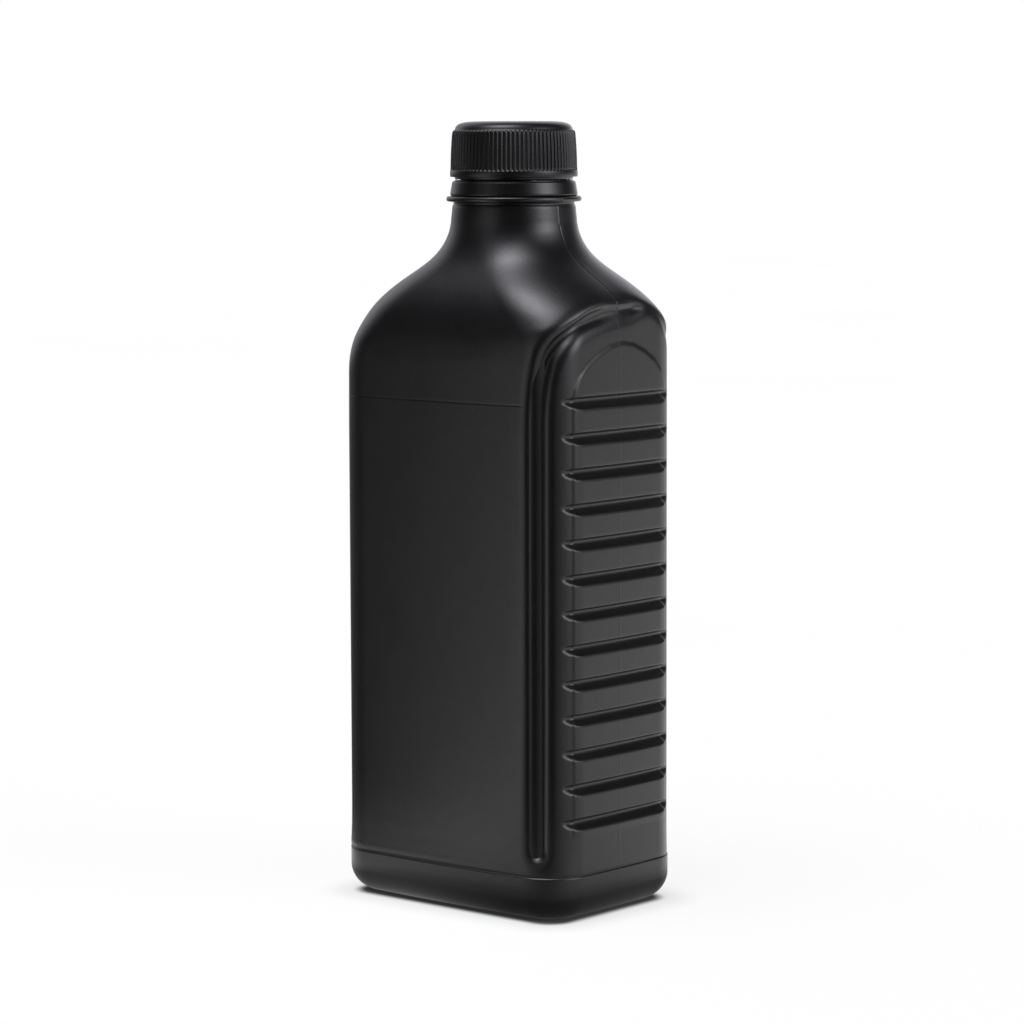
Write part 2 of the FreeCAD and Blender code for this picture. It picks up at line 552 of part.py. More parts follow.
# ---------------------------------------------------------------- tamper ring, with the stubs of its broken bridges
ring_body = new_body("ring_core")
revolved(ring_body, "ring_band", [
    (dim("ring_bore_rad"), dim("ring_bottom_z")), (dim("ring_out_low", -0.55), dim("ring_bottom_z")), (dim("ring_out_low"), dim("ring_bottom_z", 0.55)),
    (dim("ring_out_low"), dim("ring_bottom_z", 0.9)), (dim("ring_out_high", 0.05), dim("ring_top_z", -0.7)), (dim("ring_out_high", -0.35), dim("ring_top_z")),
    (dim("ring_bore_rad", 0.3), dim("ring_top_z")), (dim("ring_bore_rad", 0.3), dim("ring_top_z", 0.35)), (dim("ring_bore_rad"), dim("ring_top_z", 0.35)),
    (dim("ring_bore_rad"), dim("ring_bottom_z", 2.7)), (dim("ring_bore_rad", -1.05), dim("ring_bottom_z", 2.45)),
    (dim("ring_bore_rad", -1.05), dim("ring_bottom_z", 1.95)), (dim("ring_bore_rad"), dim("ring_bottom_z", 1.1))])
stub_sketch = sketch_in(ring_body, "stub_outline", "XY_Plane")
stub_sketch.setExpression("AttachmentOffset.Base.x", "dims.neck_x")
stub_sketch.setExpression("AttachmentOffset.Base.z", "dims.ring_top_z + 0.2")
for i, (p, q) in enumerate((((17.97, -0.5), (18.23, -0.5)), ((18.23, -0.5), (18.23, 0.5)), ((18.23, 0.5), (17.97, 0.5)), ((17.97, 0.5), (17.97, -0.5)))):
    stub_sketch.addGeometry(Part.LineSegment(V(p[0], p[1], 0), V(q[0], q[1], 0)), False)
for i in range(4):
    stub_sketch.addConstraint(Sketcher.Constraint("Coincident", i, 2, (i + 1) % 4, 1))
for i, p in enumerate(((17.97, -0.5), (18.23, -0.5), (18.23, 0.5), (17.97, 0.5))):
    stub_sketch.addConstraint(Sketcher.Constraint("DistanceX", -1, 1, i, 1, p[0]))
    stub_sketch.addConstraint(Sketcher.Constraint("DistanceY", -1, 1, i, 1, p[1]))
doc.recompute()
stub = ring_body.newObject("PartDesign::Pad", "stub_pad")
stub.Profile = stub_sketch
stub.Length = 0.35
recompute_ok(stub)
stubs = ring_body.newObject("PartDesign::PolarPattern", "stub_pattern")
stubs.Originals = [stub]
stubs.Axis = (stub_sketch, ["N_Axis"])
stubs.Angle = 360.0
stubs.Occurrences = 12
recompute_ok(stubs)
ring_body.Tip = stubs
ring_body.Label = "tamper_ring"
tamper_ring = ring_body

# ---------------------------------------------------------------- sealing wad
wad = doc.addObject("Part::Cylinder", "cap_liner")
wad.setExpression("Radius", "dims.wad_rad")
wad.setExpression("Height", "dims.wad_t")
wad.setExpression("Placement.Base.x", "dims.neck_x")
wad.setExpression("Placement.Base.z", "dims.rim_z + 0.04")
wad.Label = "cap_liner"
recompute_ok(wad)

# ---------------------------------------------------------------- check and write
doc.recompute()
for obj in doc.Objects:
    if "Invalid" in obj.State or "Error" in obj.State:
        raise RuntimeError("%s: %s" % (obj.Name, obj.State))
os.makedirs("parts", exist_ok=True)
for obj in (bottle, screw_cap, tamper_ring, wad):
    shape = obj.Shape
    if shape.isNull() or not shape.isValid():
        raise RuntimeError(obj.Label)
    if len(shape.Solids) != 1:
        raise RuntimeError("%s has %d solids" % (obj.Label, len(shape.Solids)))
    shape.exportStep("parts/%s.step" % obj.Label)
    print(obj.Label, "volume %.0f mm3" % shape.Volume, shape.BoundBox)
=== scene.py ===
import math
import bpy
import numpy as np
from mathutils import Matrix, Vector


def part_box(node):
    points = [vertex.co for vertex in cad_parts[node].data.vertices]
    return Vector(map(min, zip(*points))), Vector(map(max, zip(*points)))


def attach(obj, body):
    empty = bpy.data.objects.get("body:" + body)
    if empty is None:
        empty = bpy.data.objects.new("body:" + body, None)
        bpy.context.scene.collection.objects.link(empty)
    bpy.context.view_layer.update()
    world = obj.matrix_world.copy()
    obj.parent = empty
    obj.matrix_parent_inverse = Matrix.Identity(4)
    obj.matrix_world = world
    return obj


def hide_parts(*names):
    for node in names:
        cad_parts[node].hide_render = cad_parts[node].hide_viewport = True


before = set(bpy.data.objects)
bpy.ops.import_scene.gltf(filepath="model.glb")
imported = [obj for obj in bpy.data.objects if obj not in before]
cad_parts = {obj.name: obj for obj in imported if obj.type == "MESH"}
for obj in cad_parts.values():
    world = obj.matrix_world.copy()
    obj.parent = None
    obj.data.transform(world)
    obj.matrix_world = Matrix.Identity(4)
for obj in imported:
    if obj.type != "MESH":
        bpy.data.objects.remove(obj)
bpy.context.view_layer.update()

LO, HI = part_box("bottle")

# All shape work is in millimetres, in the CAD frame; meshes are scaled to metres when they are made.
MM = 0.001
NX = 3.2            # neck axis, +X of the middle of the base
SEAM = -1.4         # the two mould halves part on this plane, just in front of the neck axis
TAU = 2 * math.pi


# ------------------------------------------------------------------ small helpers
def smooth01(x):
    x = np.clip(x, 0.0, 1.0)
    return x * x * (3 - 2 * x)


def smin(a, b, k):
    h = np.clip(k - np.abs(a - b), 0, None) / np.maximum(k, 1e-9)
    return np.minimum(a, b) - h * h * k * 0.25


def blur_table(points, lo, hi, sigma, step=0.05):
    """A polyline through points, softened by a Gaussian of that width."""
    x = np.arange(lo - 6 * sigma, hi + 6 * sigma, step)
    p = np.array(sorted(points), float)
    y = np.interp(x, p[:, 0], p[:, 1])
    n = int(4 * sigma / step)
    k = np.exp(-0.5 * (np.arange(-n, n + 1) * step / sigma) ** 2)
    k /= k.sum()
    y = np.convolve(np.pad(y, n, mode="edge"), k, mode="valid")
    return x, y


# ------------------------------------------------------------------ plan outlines: four bowed sides and four round corners
def corner(a, b, rc, rf, rs):
    ca, cb = rf - rc, rs - rc
    fx, fy, sx, sy = 0.0, rf - b, a - rs, 0.0
    dx, dy = sx - fx, sy - fy
    d = math.hypot(dx, dy)
    along = (ca * ca - cb * cb + d * d) / (2 * d)
    off = math.sqrt(ca * ca - along * along)
    ux, uy = dx / d, dy / d
    for s in (1, -1):
        cx, cy = fx + ux * along - s * uy * off, fy + uy * along + s * ux * off
        if cx > -1e-6 and cy < 1e-6:
            return cx, -cy, math.atan2(-(cy - fy), cx - fx), math.atan2(-(cy - sy), cx - sx)
    raise ValueError("no corner")


class Outline:
    """Dense closed outline as points and outward normals, walked by normal angle."""

    def __init__(self, a, b, rc, rf, rs):
        cx, cy, tf, ts = corner(a, b, rc, rf, rs)
        arcs = [(a - rs, 0, rs, -ts, ts, 60), (cx, cy, rc, ts, tf, 160), (0, b - rf, rf, tf, math.pi - tf, 90),
                (-cx, cy, rc, math.pi - tf, math.pi - ts, 160), (rs - a, 0, rs, math.pi - ts, math.pi + ts, 60),
                (-cx, -cy, rc, math.pi + ts, math.pi + tf, 160), (0, rf - b, rf, math.pi + tf, TAU - tf, 90),
                (cx, -cy, rc, TAU - tf, TAU - ts, 160)]
        pts, nrm = [], []
        for x, y, r, s, e, n in arcs:
            t = np.linspace(s, e, n, endpoint=False)
            nn = np.stack([np.cos(t), np.sin(t)], 1)
            nrm.append(nn)
            pts.append(np.array([x, y]) + r * nn)
        self.p, self.n = np.concatenate(pts), np.concatenate(nrm)


def polar(points, centre, theta):
    """Distance from centre to the closed outline in each direction theta."""
    d = points - centre
    t = np.arctan2(d[:, 1], d[:, 0])
    r = np.hypot(d[:, 0], d[:, 1])
    o = np.argsort(t)
    return np.interp(np.mod(theta + math.pi, TAU) - math.pi, t[o], r[o], period=TAU)


BODY = Outline(45.9, 31.9, 13.6, 727.2, 463.1)
GROWN = Outline(49.1, 31.9, 13.6, 727.2, 463.1)
NECK_R = 19.4
C = np.array([NX, 0.0])

# growth of the shoulder section from the neck circle (0) to the full outline (1)
U_TABLE = [(216, 19.4), (210, 19.4), (208, 19.71), (206.2, 20.3), (204.4, 21.05), (202.5, 22.15), (200.7, 23.5), (198.8, 25.2),
           (197, 27.5), (195.1, 30.1), (193.3, 32.8), (191.4, 35.5), (189.6, 37.8), (187.7, 40.0), (185.9, 41.9), (184, 43.6),
           (182.2, 44.95), (180.3, 46.2), (178.5, 47.35), (176.6, 48.4), (174.8, 49.27), (173, 49.98), (171, 50.5), (169.2, 50.9),
           (167.4, 51.15), (165.5, 51.29), (163, 51.35), (150, 51.35)]
GZ, GU = blur_table([(z, (u - 19.4) / 31.95) for z, u in U_TABLE], 150, 216, 1.3)


def grow(z):
    return float(np.interp(z, GZ, GU))


# the shoulder's corners are rounder half way up than at the body or the neck
RZ, RR = blur_table([(150, 13.6), (166, 13.6), (172, 15.6), (178, 20.0), (185, 24.3), (190, 26.0), (216, 26.0)], 150, 216, 1.5)
DIAG = np.array([0.76, 0.65])
SECTIONS = {}


def section(z):
    """Outline of the full shoulder section at a height, and how far it has grown from the neck circle there."""
    rc = round(float(np.interp(z, RZ, RR)), 2)
    if rc not in SECTIONS:
        o = Outline(49.1, 31.9, rc, 727.2, 463.1)
        SECTIONS[rc] = (o, float((o.p @ DIAG).max()))
    o, h = SECTIONS[rc]
    full = float((GROWN.p @ DIAG).max())
    return o, grow(z) * (full - NECK_R) / (h - NECK_R)


# grip grooves: depth below the bowed side against height; outside a groove the cutting surface stands clear of the side
GROOVE_TOP, GROOVE_PITCH, GROOVES = 159.2, 10.61, 13
prof = []
for k in range(GROOVES):
    t = GROOVE_TOP - k * GROOVE_PITCH
    prof += [(t + 0.35, -0.7), (t, 0.0), (t - 0.7, 1.9), (t - 1.75, 2.0), (t - 3.72, 0.18), (t - 4.02, -0.1), (t - 5.0, -0.8)]
DZ, DD = blur_table(prof, 15, 170, 0.16, 0.02)


def groove_depth(z):
    return float(np.interp(z, DZ, DD))


# base band, parting line and the flare just above it
BZ, BO = blur_table([(0, 0.36), (13.72, 0.36), (13.95, 0.02), (14.1, 0.02), (14.35, 0.34), (15.6, 0.36), (17.0, 0.26), (21.0, 0.08),
                     (27.0, 0.0), (60, 0.0)], 0, 60, 0.09, 0.02)

# channel that frames the grip: centreline on the shell
PATH = np.array([(37.1, -30.15, 21.9), (37.1, -30.15, 60), (37.1, -30.15, 110), (37.1, -30.15, 152.6), (37.5, -30.0, 158.7), (38.4, -29.75, 164.3),
                 (40.2, -28.6, 170.5), (42.3, -26.5, 174.6), (43.9, -23.5, 177.6), (44.9, -19.8, 180.0), (45.2, -15.2, 181.7),
                 (45.1, -10.2, 182.9), (44.4, -5.3, 183.7), (43.9, 0, 184.2)], float)
PATH = np.concatenate([PATH, PATH[-2::-1] * [1, -1, 1]])
PATH[len(PATH) // 2 + 1:len(PATH) // 2 + 5, 2] += (0.8, 1.8, 2.2, 1.4)


def catmull(p, n):
    out = []
    q = np.concatenate([[2 * p[0] - p[1]], p, [2 * p[-1] - p[-2]]])
    for i in range(1, len(q) - 2):
        a, b, c, d = q[i - 1:i + 3]
        for t in np.linspace(0, 1, n, endpoint=False):
            out.append(0.5 * ((2 * b) + (c - a) * t + (2 * a - 5 * b + 4 * c - d) * t * t + (3 * b - a - 3 * c + d) * t ** 3))
    out.append(p[-1])
    return np.array(out)


SPINE = np.concatenate([PATH[:3], catmull(PATH[3:-3], 8), PATH[-3:]])


# its depth against distance from the centreline
HALF = [(0, 2.5), (0.5, 2.56), (0.95, 2.42), (1.4, 2.08), (1.8, 1.68), (2.3, 1.2), (2.8, 0.8), (3.3, 0.52), (3.8, 0.34), (4.3, 0.22), (4.9, 0.1), (5.6, 0.02), (7, 0)]
CHD, CHV = blur_table([(-a, v) for a, v in HALF[:0:-1]] + HALF, -7, 7, 0.12)



def dist_to_polyline(P, line):
    best = np.full(len(P), 1e9)
    for a, b in zip(line[:-1], line[1:]):
        ab = b - a
        t = np.clip(((P - a) @ ab) / (ab @ ab), 0, 1)
        d = np.linalg.norm(P - (a + t[:, None] * ab), axis=1)
        best = np.minimum(best, d)
    return best


# raised or sunk panel with a domed top, on the grip side: outline in Y, Z
DOME_R = [(22.0, 26.5), (22.0, 158.0), (21.5, 161.2), (19.5, 165.0), (16.0, 168.4), (10.9, 171.4), (5.6, 173.5)]
DOME = np.array([(-y, z) for y, z in DOME_R] + [(0, 174.3)] + [(y, z) for y, z in reversed(DOME_R)], float)
DOME = np.concatenate([DOME, DOME[:1]])


def inside_signed(Q, poly):
    """Distance to a closed polygon in the plane, positive inside."""
    d = np.full(len(Q), 1e9)
    inside = np.zeros(len(Q), bool)
    for a, b in zip(poly[:-1], poly[1:]):
        ab = b - a
        t = np.clip(((Q - a) @ ab) / (ab @ ab), 0, 1)
        d = np.minimum(d, np.linalg.norm(Q - (a + t[:, None] * ab), axis=1))
        crosses = (a[1] > Q[:, 1]) != (b[1] > Q[:, 1])
        x = a[0] + (Q[:, 1] - a[1]) / (b[1] - a[1] + 1e-12) * ab[0]
        inside ^= crosses & (Q[:, 0] < x)
    return np.where(inside, d, -d)


# ------------------------------------------------------------------ columns
seam = np.array([-0.75, -0.45, -0.25, -0.1, 0.1, 0.25, 0.45, 0.75]) + SEAM
E_Y = np.concatenate([np.linspace(-17.5, -2.6, 19), seam, np.linspace(-0.2, 17.5, 22)])
W_Y = np.concatenate([np.linspace(17.5, -0.2, 7), seam[::-1], np.linspace(-2.6, -17.5, 6)])
F_X = np.linspace(-31.9, 31.9, 13)
# corners of the grip side carry the channel, so their columns crowd where it runs
NE_T = np.interp(np.arange(1, 51) / 51, [0, 22.5 / 51, 48.5 / 51, 1], [0, 0.51, 0.925, 1])
NW_T = np.arange(1, 16) / 16


def columns(rE, rN, rW, rS, body):
    """Directions from the neck axis of one row's points, E side first, anticlockwise. body is 1 down the straight part and 0 at the neck."""
    s = 0.30 + 0.70 * body
    e = np.arctan2(SEAM + (E_Y - SEAM) * s, rE)
    w = np.arctan2(SEAM + (W_Y - SEAM) * s, -rW)
    w = np.where(w < 0, w + TAU, w)
    fx = (F_X - NX) * s
    n = np.arctan2(rN, fx[::-1])
    b = np.arctan2(-rS, fx)
    b = b + TAU

    def between(a, c, t):
        return a + (c - a) * t
    return np.concatenate([e, between(e[-1], n[0], NE_T), n, between(n[-1], w[0], NW_T), w, between(w[-1], b[0], NW_T), b,
                           between(b[-1], e[0] + TAU, 1 - NE_T[::-1])])


def shoulder_radius(z, theta, inset=0.0):
    o, w = section(z)
    pts = (1 - w) * (NECK_R - inset) * o.n + w * (o.p - inset * o.n) + C
    return polar(pts, C, theta)


def body_radius(off, theta):
    """off: one offset, or one for every direction."""
    if np.ndim(off) == 0:
        return polar(BODY.p + off * BODY.n, C, theta)
    return polar(BODY.p, C, theta) + off


def outer_row(z):
    r0 = shoulder_radius(z, np.array([0, math.pi / 2, math.pi, -math.pi / 2]))
    s0 = body_radius(0.0, np.array([0, math.pi / 2, math.pi, -math.pi / 2]))
    r0 = np.minimum(r0, s0)
    body = float(smooth01((206.0 - z) / 40.0))
    th = columns(r0[0], r0[1], r0[2], r0[3], body)
    off = float(np.interp(z, BZ, BO))
    lean = off * (0.7 - 0.35 * np.cos(th)) if z > 14.2 else off
    rs = body_radius(lean, th)
    if z > 146:
        rt = shoulder_radius(z, th)
        k = 1.3 * smooth01((np.cos(th) - 0.45) / 0.3) + 1e-6
        r = rs + (smin(rt, rs, k) - rs) * smooth01((z - 146.0) / 16.0)
    else:
        r = rs
    base = r.copy()
    dep = groove_depth(z)
    if dep > -0.69 and z < 162:
        c = np.cos(th)
        rg = 463.1 - dep
        cut = -420.4 * c + np.sqrt(np.maximum(420.4 ** 2 * c * c - (420.4 ** 2 - rg * rg), 0))
        r = np.where(np.abs(np.mod(th + math.pi, TAU) - math.pi) < 1.1, smin(r, cut, 0.34), r)
    return th, base, r


# ------------------------------------------------------------------ rows up the outside of the body
zs = [11.2, 12.4, 13.2, 13.55, 13.72, 13.84, 13.94, 14.03, 14.12, 14.24, 14.4, 14.7, 15.15, 15.6, 16.1, 16.6, 17.1, 17.7, 18.3, 19.0, 19.8,
      20.8, 22.2, 24.0, 26.0]
LOCAL = [0.95, 0.3, 0.06, -0.16, -0.4, -0.64, -0.86, -1.35, -1.72, -2.1, -2.7, -3.3, -3.68, -3.92, -4.2, -4.75, -6.6]
for k in range(GROOVES):
    zs += [GROOVE_TOP - k * GROOVE_PITCH + d for d in LOCAL]
zs += [156.28, 156.42, 156.58, 156.72]
zs += list(np.arange(161.0, 190.3, 0.52)) + list(np.arange(190.8, 206, 0.95)) + [206.5, 207.4, 208.3, 209.2]
zs = np.array(sorted(set(round(z, 3) for z in zs)))
zs = zs[(zs > 11) & (zs < 209.6)]
TH, BASE, CUT = [], [], []
for z in zs:
    t, b, r = outer_row(float(z))
    TH.append(t)
    BASE.append(b)
    CUT.append(r)
TH, BASE, CUT = np.array(TH), np.array(BASE), np.array(CUT)
ZZ = np.repeat(zs[:, None], TH.shape[1], 1)
grid = lambda r: np.stack([NX + r * np.cos(TH), r * np.sin(TH), ZZ], 2)
PB, PC = grid(BASE), grid(CUT)


def grid_normals(P):
    du = np.roll(P, -1, 1) - np.roll(P, 1, 1)
    dv = np.empty_like(P)
    dv[1:-1] = P[2:] - P[:-2]
    dv[0], dv[-1] = P[1] - P[0], P[-1] - P[-2]
    n = np.cross(du, dv)
    return n / np.maximum(np.linalg.norm(n, axis=2, keepdims=True), 1e-12)


NB = grid_normals(PB)
flat = PB.reshape(-1, 3)
disp = np.zeros(len(flat))
near = flat[:, 0] > 27
d = dist_to_polyline(flat[near], SPINE)
# over the far shoulder it narrows and shallows
far = smooth01((flat[near][:, 1] - 1.0) / 13.0) * smooth01((flat[near][:, 2] - 160.0) / 12.0)
ch = np.interp(d * (1 + 0.6 * far), CHD, CHV)
ch *= 1 - 0.15 * smooth01((flat[near][:, 2] - 180.0) / 3.0)
ch *= 1 - 0.75 * smooth01((far - 0.3) / 0.7)
disp[near] -= ch
# panel inside the channel stands a hair proud of the rim round it
q = flat[near][:, 1:]
sd = inside_signed(q, DOME)
disp[near] += 0.27 * smooth01((sd + 0.35) / 0.7)
# flash line where the mould halves met
side = np.abs(flat[:, 1] - SEAM)
low = smooth01((186.0 - flat[:, 2]) / 6.0)
disp += (0.08 * low - 0.04 * (flat[:, 0] > 0) * low - 0.08 * (1 - low)) * np.exp(-(side / 0.2) ** 2)
# front and back: hairline step of the label panel
nb = NB.reshape(-1, 3)
face = smooth01((np.abs(nb[:, 1]) - 0.80) / 0.15) * smooth01((flat[:, 0] + 42) / 5) * smooth01((33.5 - flat[:, 0]) / 2.0)
h = flat[:, 2] - 156.5
disp += face * -0.05 * np.exp(-(h / 0.17) ** 2)
P = PC + NB * disp.reshape(ZZ.shape)[:, :, None]
ROWS = [P[i] for i in range(len(zs))]

# ------------------------------------------------------------------ foot, under the first body row
th0 = TH[0]
def foot_row(inset, z, off=0.36):
    # insets beyond the corner radius shrink the outline about its middle
    i = min(inset - off, 12.6)
    r = polar(BODY.p - i * BODY.n, C, th0)
    return np.stack([NX + r * np.cos(th0), r * np.sin(th0), np.full(len(th0), z)], 1)
def round_edge(R, t):
    return foot_row(R * (1 - math.cos(math.radians(t))), R * (1 - math.sin(math.radians(t))))


foot = [round_edge(8.4, t) for t in (90, 80, 70, 60, 50, 41, 33, 25, 18, 11.5, 5.5)]
inner = foot_row(12.1, 0.0)
slope = foot_row(12.96, 0.5)
mid = np.array([0.0, 0.0])
def shrink(row, f, z):
    q = row.copy()
    q[:, :2] = mid + (q[:, :2] - mid) * f
    q[:, 2] = z
    return q
under = [shrink(slope, 0.25, 1.8), shrink(slope, 0.55, 1.8), shrink(slope, 0.86, 1.78), shrink(slope, 0.945, 1.5), slope, inner]
ROWS = under + foot + ROWS

# ------------------------------------------------------------------ neck and its finish, all round sections
thn = TH[-1]
def ring(r, z):
    return np.stack([NX + r * np.cos(thn), r * np.sin(thn), np.full(len(thn), z) if np.ndim(z) == 0 else z], 1)
def seam_bump(r):
    y = r * np.sin(thn)
    return 0.11 * np.exp(-((y - SEAM) / 0.2) ** 2)
neck = [(19.42, 210.1), (19.36, 211.0), (19.25, 212.1), (19.12, 213.3), (19.03, 214.4), (18.95, 215.0), (18.74, 215.35), (18.62, 215.65), (18.62, 216.0),
        (18.85, 216.24), (19.5, 216.32), (20.25, 216.38), (20.6, 216.52), (20.76, 216.78), (20.8, 217.1), (20.78, 217.45), (20.66, 217.74), (20.4, 217.93),
        (20.0, 218.0), (17.0, 218.02), (16.6, 218.16), (16.42, 218.5), (16.4, 219.5), (16.4, 220.8), (16.6, 220.98), (17.3, 221.1), (17.47, 221.3), (17.5, 221.55),
        (17.42, 221.8), (16.95, 222.4), (16.5, 222.85), (16.4, 223.1), (16.4, 225.5), (16.4, 227.4)]
for i, (r, z) in enumerate(neck):
    ROWS.append(ring(r + (seam_bump(r) if z < 216 or 216.4 < z < 217.9 else 0), z))
ang = np.mod(thn, TAU)
for z in np.arange(227.8, 235.9, 0.34):
    lift = np.zeros(len(thn))
    for turn in (0, 1):
        tt = ang / TAU + turn
        zc = 229.0 + 4.0 * tt
        live = smooth01(tt / 0.06) * smooth01((1.25 - tt) / 0.06)
        dz = np.abs(z - zc)
        lift = np.maximum(lift, 0.9 * live * smooth01((1.05 - dz) / 0.62))
    ROWS.append(ring(16.4 + lift, float(z)))
for r, z in [(16.4, 237.0), (16.32, 237.5), (16.1, 237.88), (15.75, 238.06), (15.4, 238.1), (14.8, 238.1), (14.5, 238.02), (14.28, 237.8), (14.2, 237.4), (14.2, 228.0),
             (14.2, 219.2), (14.7, 217.6), (17.3, 214.2), (17.9, 212.6), (18.25, 210.3)]:
    ROWS.append(ring(r, z))

# ------------------------------------------------------------------ inside of the shell
def inner_row(z, more=0.0):
    i = int(np.argmin(np.abs(zs - max(z, zs[0]))))
    th = TH[i]
    e = np.cos(th)
    wall = 1.15 + 2.4 * smooth01((e - 0.72) / 0.12) * float(smooth01((190.0 - z) / 6.0)) + more
    r = BASE[i] - wall
    return np.stack([NX + r * np.cos(th), r * np.sin(th), np.full(len(th), z)], 1)
for z in (207.4, 204.0, 200.5, 197.0, 193.5, 190.0, 186.5, 183.0, 179.5, 176.0, 172.0, 167.0, 160.0, 120.0, 80.0, 40.0, 17.0):
    ROWS.append(inner_row(z))
for z, more in ((11.5, 0.3), (7.8, 1.8), (5.2, 4.2), (3.7, 7.6), (3.25, 11.0)):
    ROWS.append(inner_row(z, more))
ROWS.append(shrink(ROWS[-1], 0.45, 3.2))


def mesh_from_rows(name, rows, first_centre=None, last_centre=None):
    m = len(rows[0])
    co = np.concatenate(rows)
    n = len(rows)
    i = np.arange(m)
    j = (i + 1) % m
    quads = []
    for k in range(n - 1):
        quads.append(np.stack([k * m + i, k * m + j, (k + 1) * m + j, (k + 1) * m + i], 1))
    faces = np.concatenate(quads).tolist()
    if first_centre is not None:
        c = len(co)
        co = np.concatenate([co, [first_centre]])
        faces += [(c, b, a) for a, b in zip(i.tolist(), j.tolist())]
    if last_centre is not None:
        c = len(co)
        co = np.concatenate([co, [last_centre]])
        o = (n - 1) * m
        faces += [(c, o + a, o + b) for a, b in zip(i.tolist(), j.tolist())]
    me = bpy.data.meshes.new(name)
    me.from_pydata((co * MM).tolist(), [], faces)
    me.validate()
    me.update()
    ob = bpy.data.objects.new(name, me)
    bpy.context.scene.collection.objects.link(ob)
    return ob


def shade(ob, angle):
    me = ob.data
    me.polygons.foreach_set("use_smooth", [True] * len(me.polygons))
    me.set_sharp_from_angle(angle=math.radians(angle))
    me.update()


bottle = mesh_from_rows("bottle_shell", ROWS, (0, 0, 1.8), (0, 0, 3.2))
shade(bottle, 55)
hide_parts("bottle")
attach(bottle, "shell")
print("bottle_shell triangles", sum(len(p.vertices) - 2 for p in bottle.data.polygons), "rows", len(ROWS), "columns", len(ROWS[0]))

# ------------------------------------------------------------------ screw cap
RIBS = 88
CC = RIBS * 8
tc = np.arange(CC) * TAU / CC
ribs = 0.5 + 0.5 * np.tanh(2.2 * np.cos(RIBS * tc) + 0.15) / np.tanh(2.35)


def cap_ring(r, z, rib=0.0):
    rr = np.full(CC, float(r)) + (ribs - 1) * rib
    return np.stack([NX + rr * np.cos(tc), rr * np.sin(tc), np.full(CC, float(z)) if np.ndim(z) == 0 else z], 1)


cap_rows = []
for r, z in [(3.0, 240.9), (8.0, 240.89), (11.5, 240.84), (13.4, 240.76), (14.8, 240.62), (15.9, 240.4), (16.75, 240.1), (17.35, 239.72), (17.75, 239.28),
             (17.98, 238.8), (18.12, 238.45), (18.22, 238.25)]:
    cap_rows.append(cap_ring(r, z))
# ribs start as rounded tongues on the shoulder of the cap
for r, z, h in [(18.38, 238.12, 0.06), (18.6, 237.98, 0.2), (18.78, 237.78, 0.32), (18.88, 237.5, 0.38), (18.95, 237.1, 0.4), (19.02, 236.5, 0.4), (19.13, 235.0, 0.4),
                (19.26, 233.0, 0.4), (19.36, 231.0, 0.4), (19.42, 229.0, 0.4), (19.46, 227.2, 0.4), (19.48, 226.6, 0.4), (19.5, 226.28, 0.37), (19.53, 226.08, 0.24), (19.56, 225.93, 0.1)]:
    cap_rows.append(cap_ring(r, z, h))
for r, z in [(19.6, 225.82), (19.64, 225.6), (19.65, 225.0), (19.64, 224.3), (19.6, 224.06), (19.5, 223.93), (19.35, 223.9), (18.25, 223.9), (18.2, 223.84), (18.2, 223.32), (18.14, 223.25),
             (17.82, 223.25), (17.76, 223.3), (17.75, 223.9), (17.75, 225.8)]:
    cap_rows.append(cap_ring(r, z))
for z in np.arange(226.2, 231.9, 0.4):
    tt = tc / TAU
    zc = 227.3 + 4.0 * tt
    live = smooth01(tt / 0.05) * smooth01((0.8 - tt) / 0.05)
    lift = 1.03 * live * smooth01((1.05 - np.abs(z - zc)) / 0.62)
    rr = 17.75 - lift
    cap_rows.append(np.stack([NX + rr * np.cos(tc), rr * np.sin(tc), np.full(CC, float(z))], 1))
for r, z in [(17.75, 233.0), (17.75, 236.6), (17.3, 237.45), (17.28, 238.9), (17.1, 239.08), (8.0, 239.08)]:
    cap_rows.append(cap_ring(r, z))
cap = mesh_from_rows("cap_body", cap_rows[::-1], (NX, 0, 239.08), (NX, 0, 240.9))
shade(cap, 50)
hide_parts("screw_cap")
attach(cap, "cap")
print("cap_body triangles", sum(len(p.vertices) - 2 for p in cap.data.polygons))

# ------------------------------------------------------------------ tamper ring, with the stubs of its parted bridges
RC = 288
tr = np.arange(RC) * TAU / RC
stub = np.clip(1.6 - np.abs(((tr * 12 / TAU + 0.5) % 1 - 0.5) * (18.1 * TAU / 12)) / 0.42, 0, 1)


def ring_row(r, z, lift=0.0):
    return np.stack([NX + r * np.cos(tr), r * np.sin(tr), z + stub * lift], 1)


ring_rows = [ring_row(*a) for a in [
    (18.0, 218.05), (18.9, 218.05), (19.25, 218.08), (19.45, 218.2), (19.56, 218.4), (19.6, 218.65), (19.58, 218.95), (19.5, 219.4), (19.36, 220.2), (19.22, 221.0),
    (19.12, 221.6), (19.05, 222.05), (18.98, 222.3), (18.85, 222.48), (18.65, 222.58), (18.4, 222.6), (18.28, 222.62), (18.24, 222.7), (18.22, 222.85), (18.18, 222.92, 0.2), (18.02, 222.92, 0.2),
    (17.97, 222.85), (17.95, 222.6), (17.95, 221.0), (17.9, 220.78), (17.3, 220.62), (16.98, 220.5), (16.9, 220.25), (16.95, 220.02), (17.4, 219.7), (17.88, 219.25), (17.95, 219.0)]]
ring_rows.append(ring_rows[0].copy())
m = RC
co = np.concatenate(ring_rows[:-1])
n = len(ring_rows) - 1
faces = []
for k in range(n):
    a, b = k * m, ((k + 1) % n) * m
    for i in range(m):
        j = (i + 1) % m
        faces.append((a + i, a + j, b + j, b + i))
me = bpy.data.meshes.new("tamper_band")
me.from_pydata((co * MM).tolist(), [], faces)
me.validate()
me.update()
tamper = bpy.data.objects.new("tamper_band", me)
bpy.context.scene.collection.objects.link(tamper)
shade(tamper, 50)
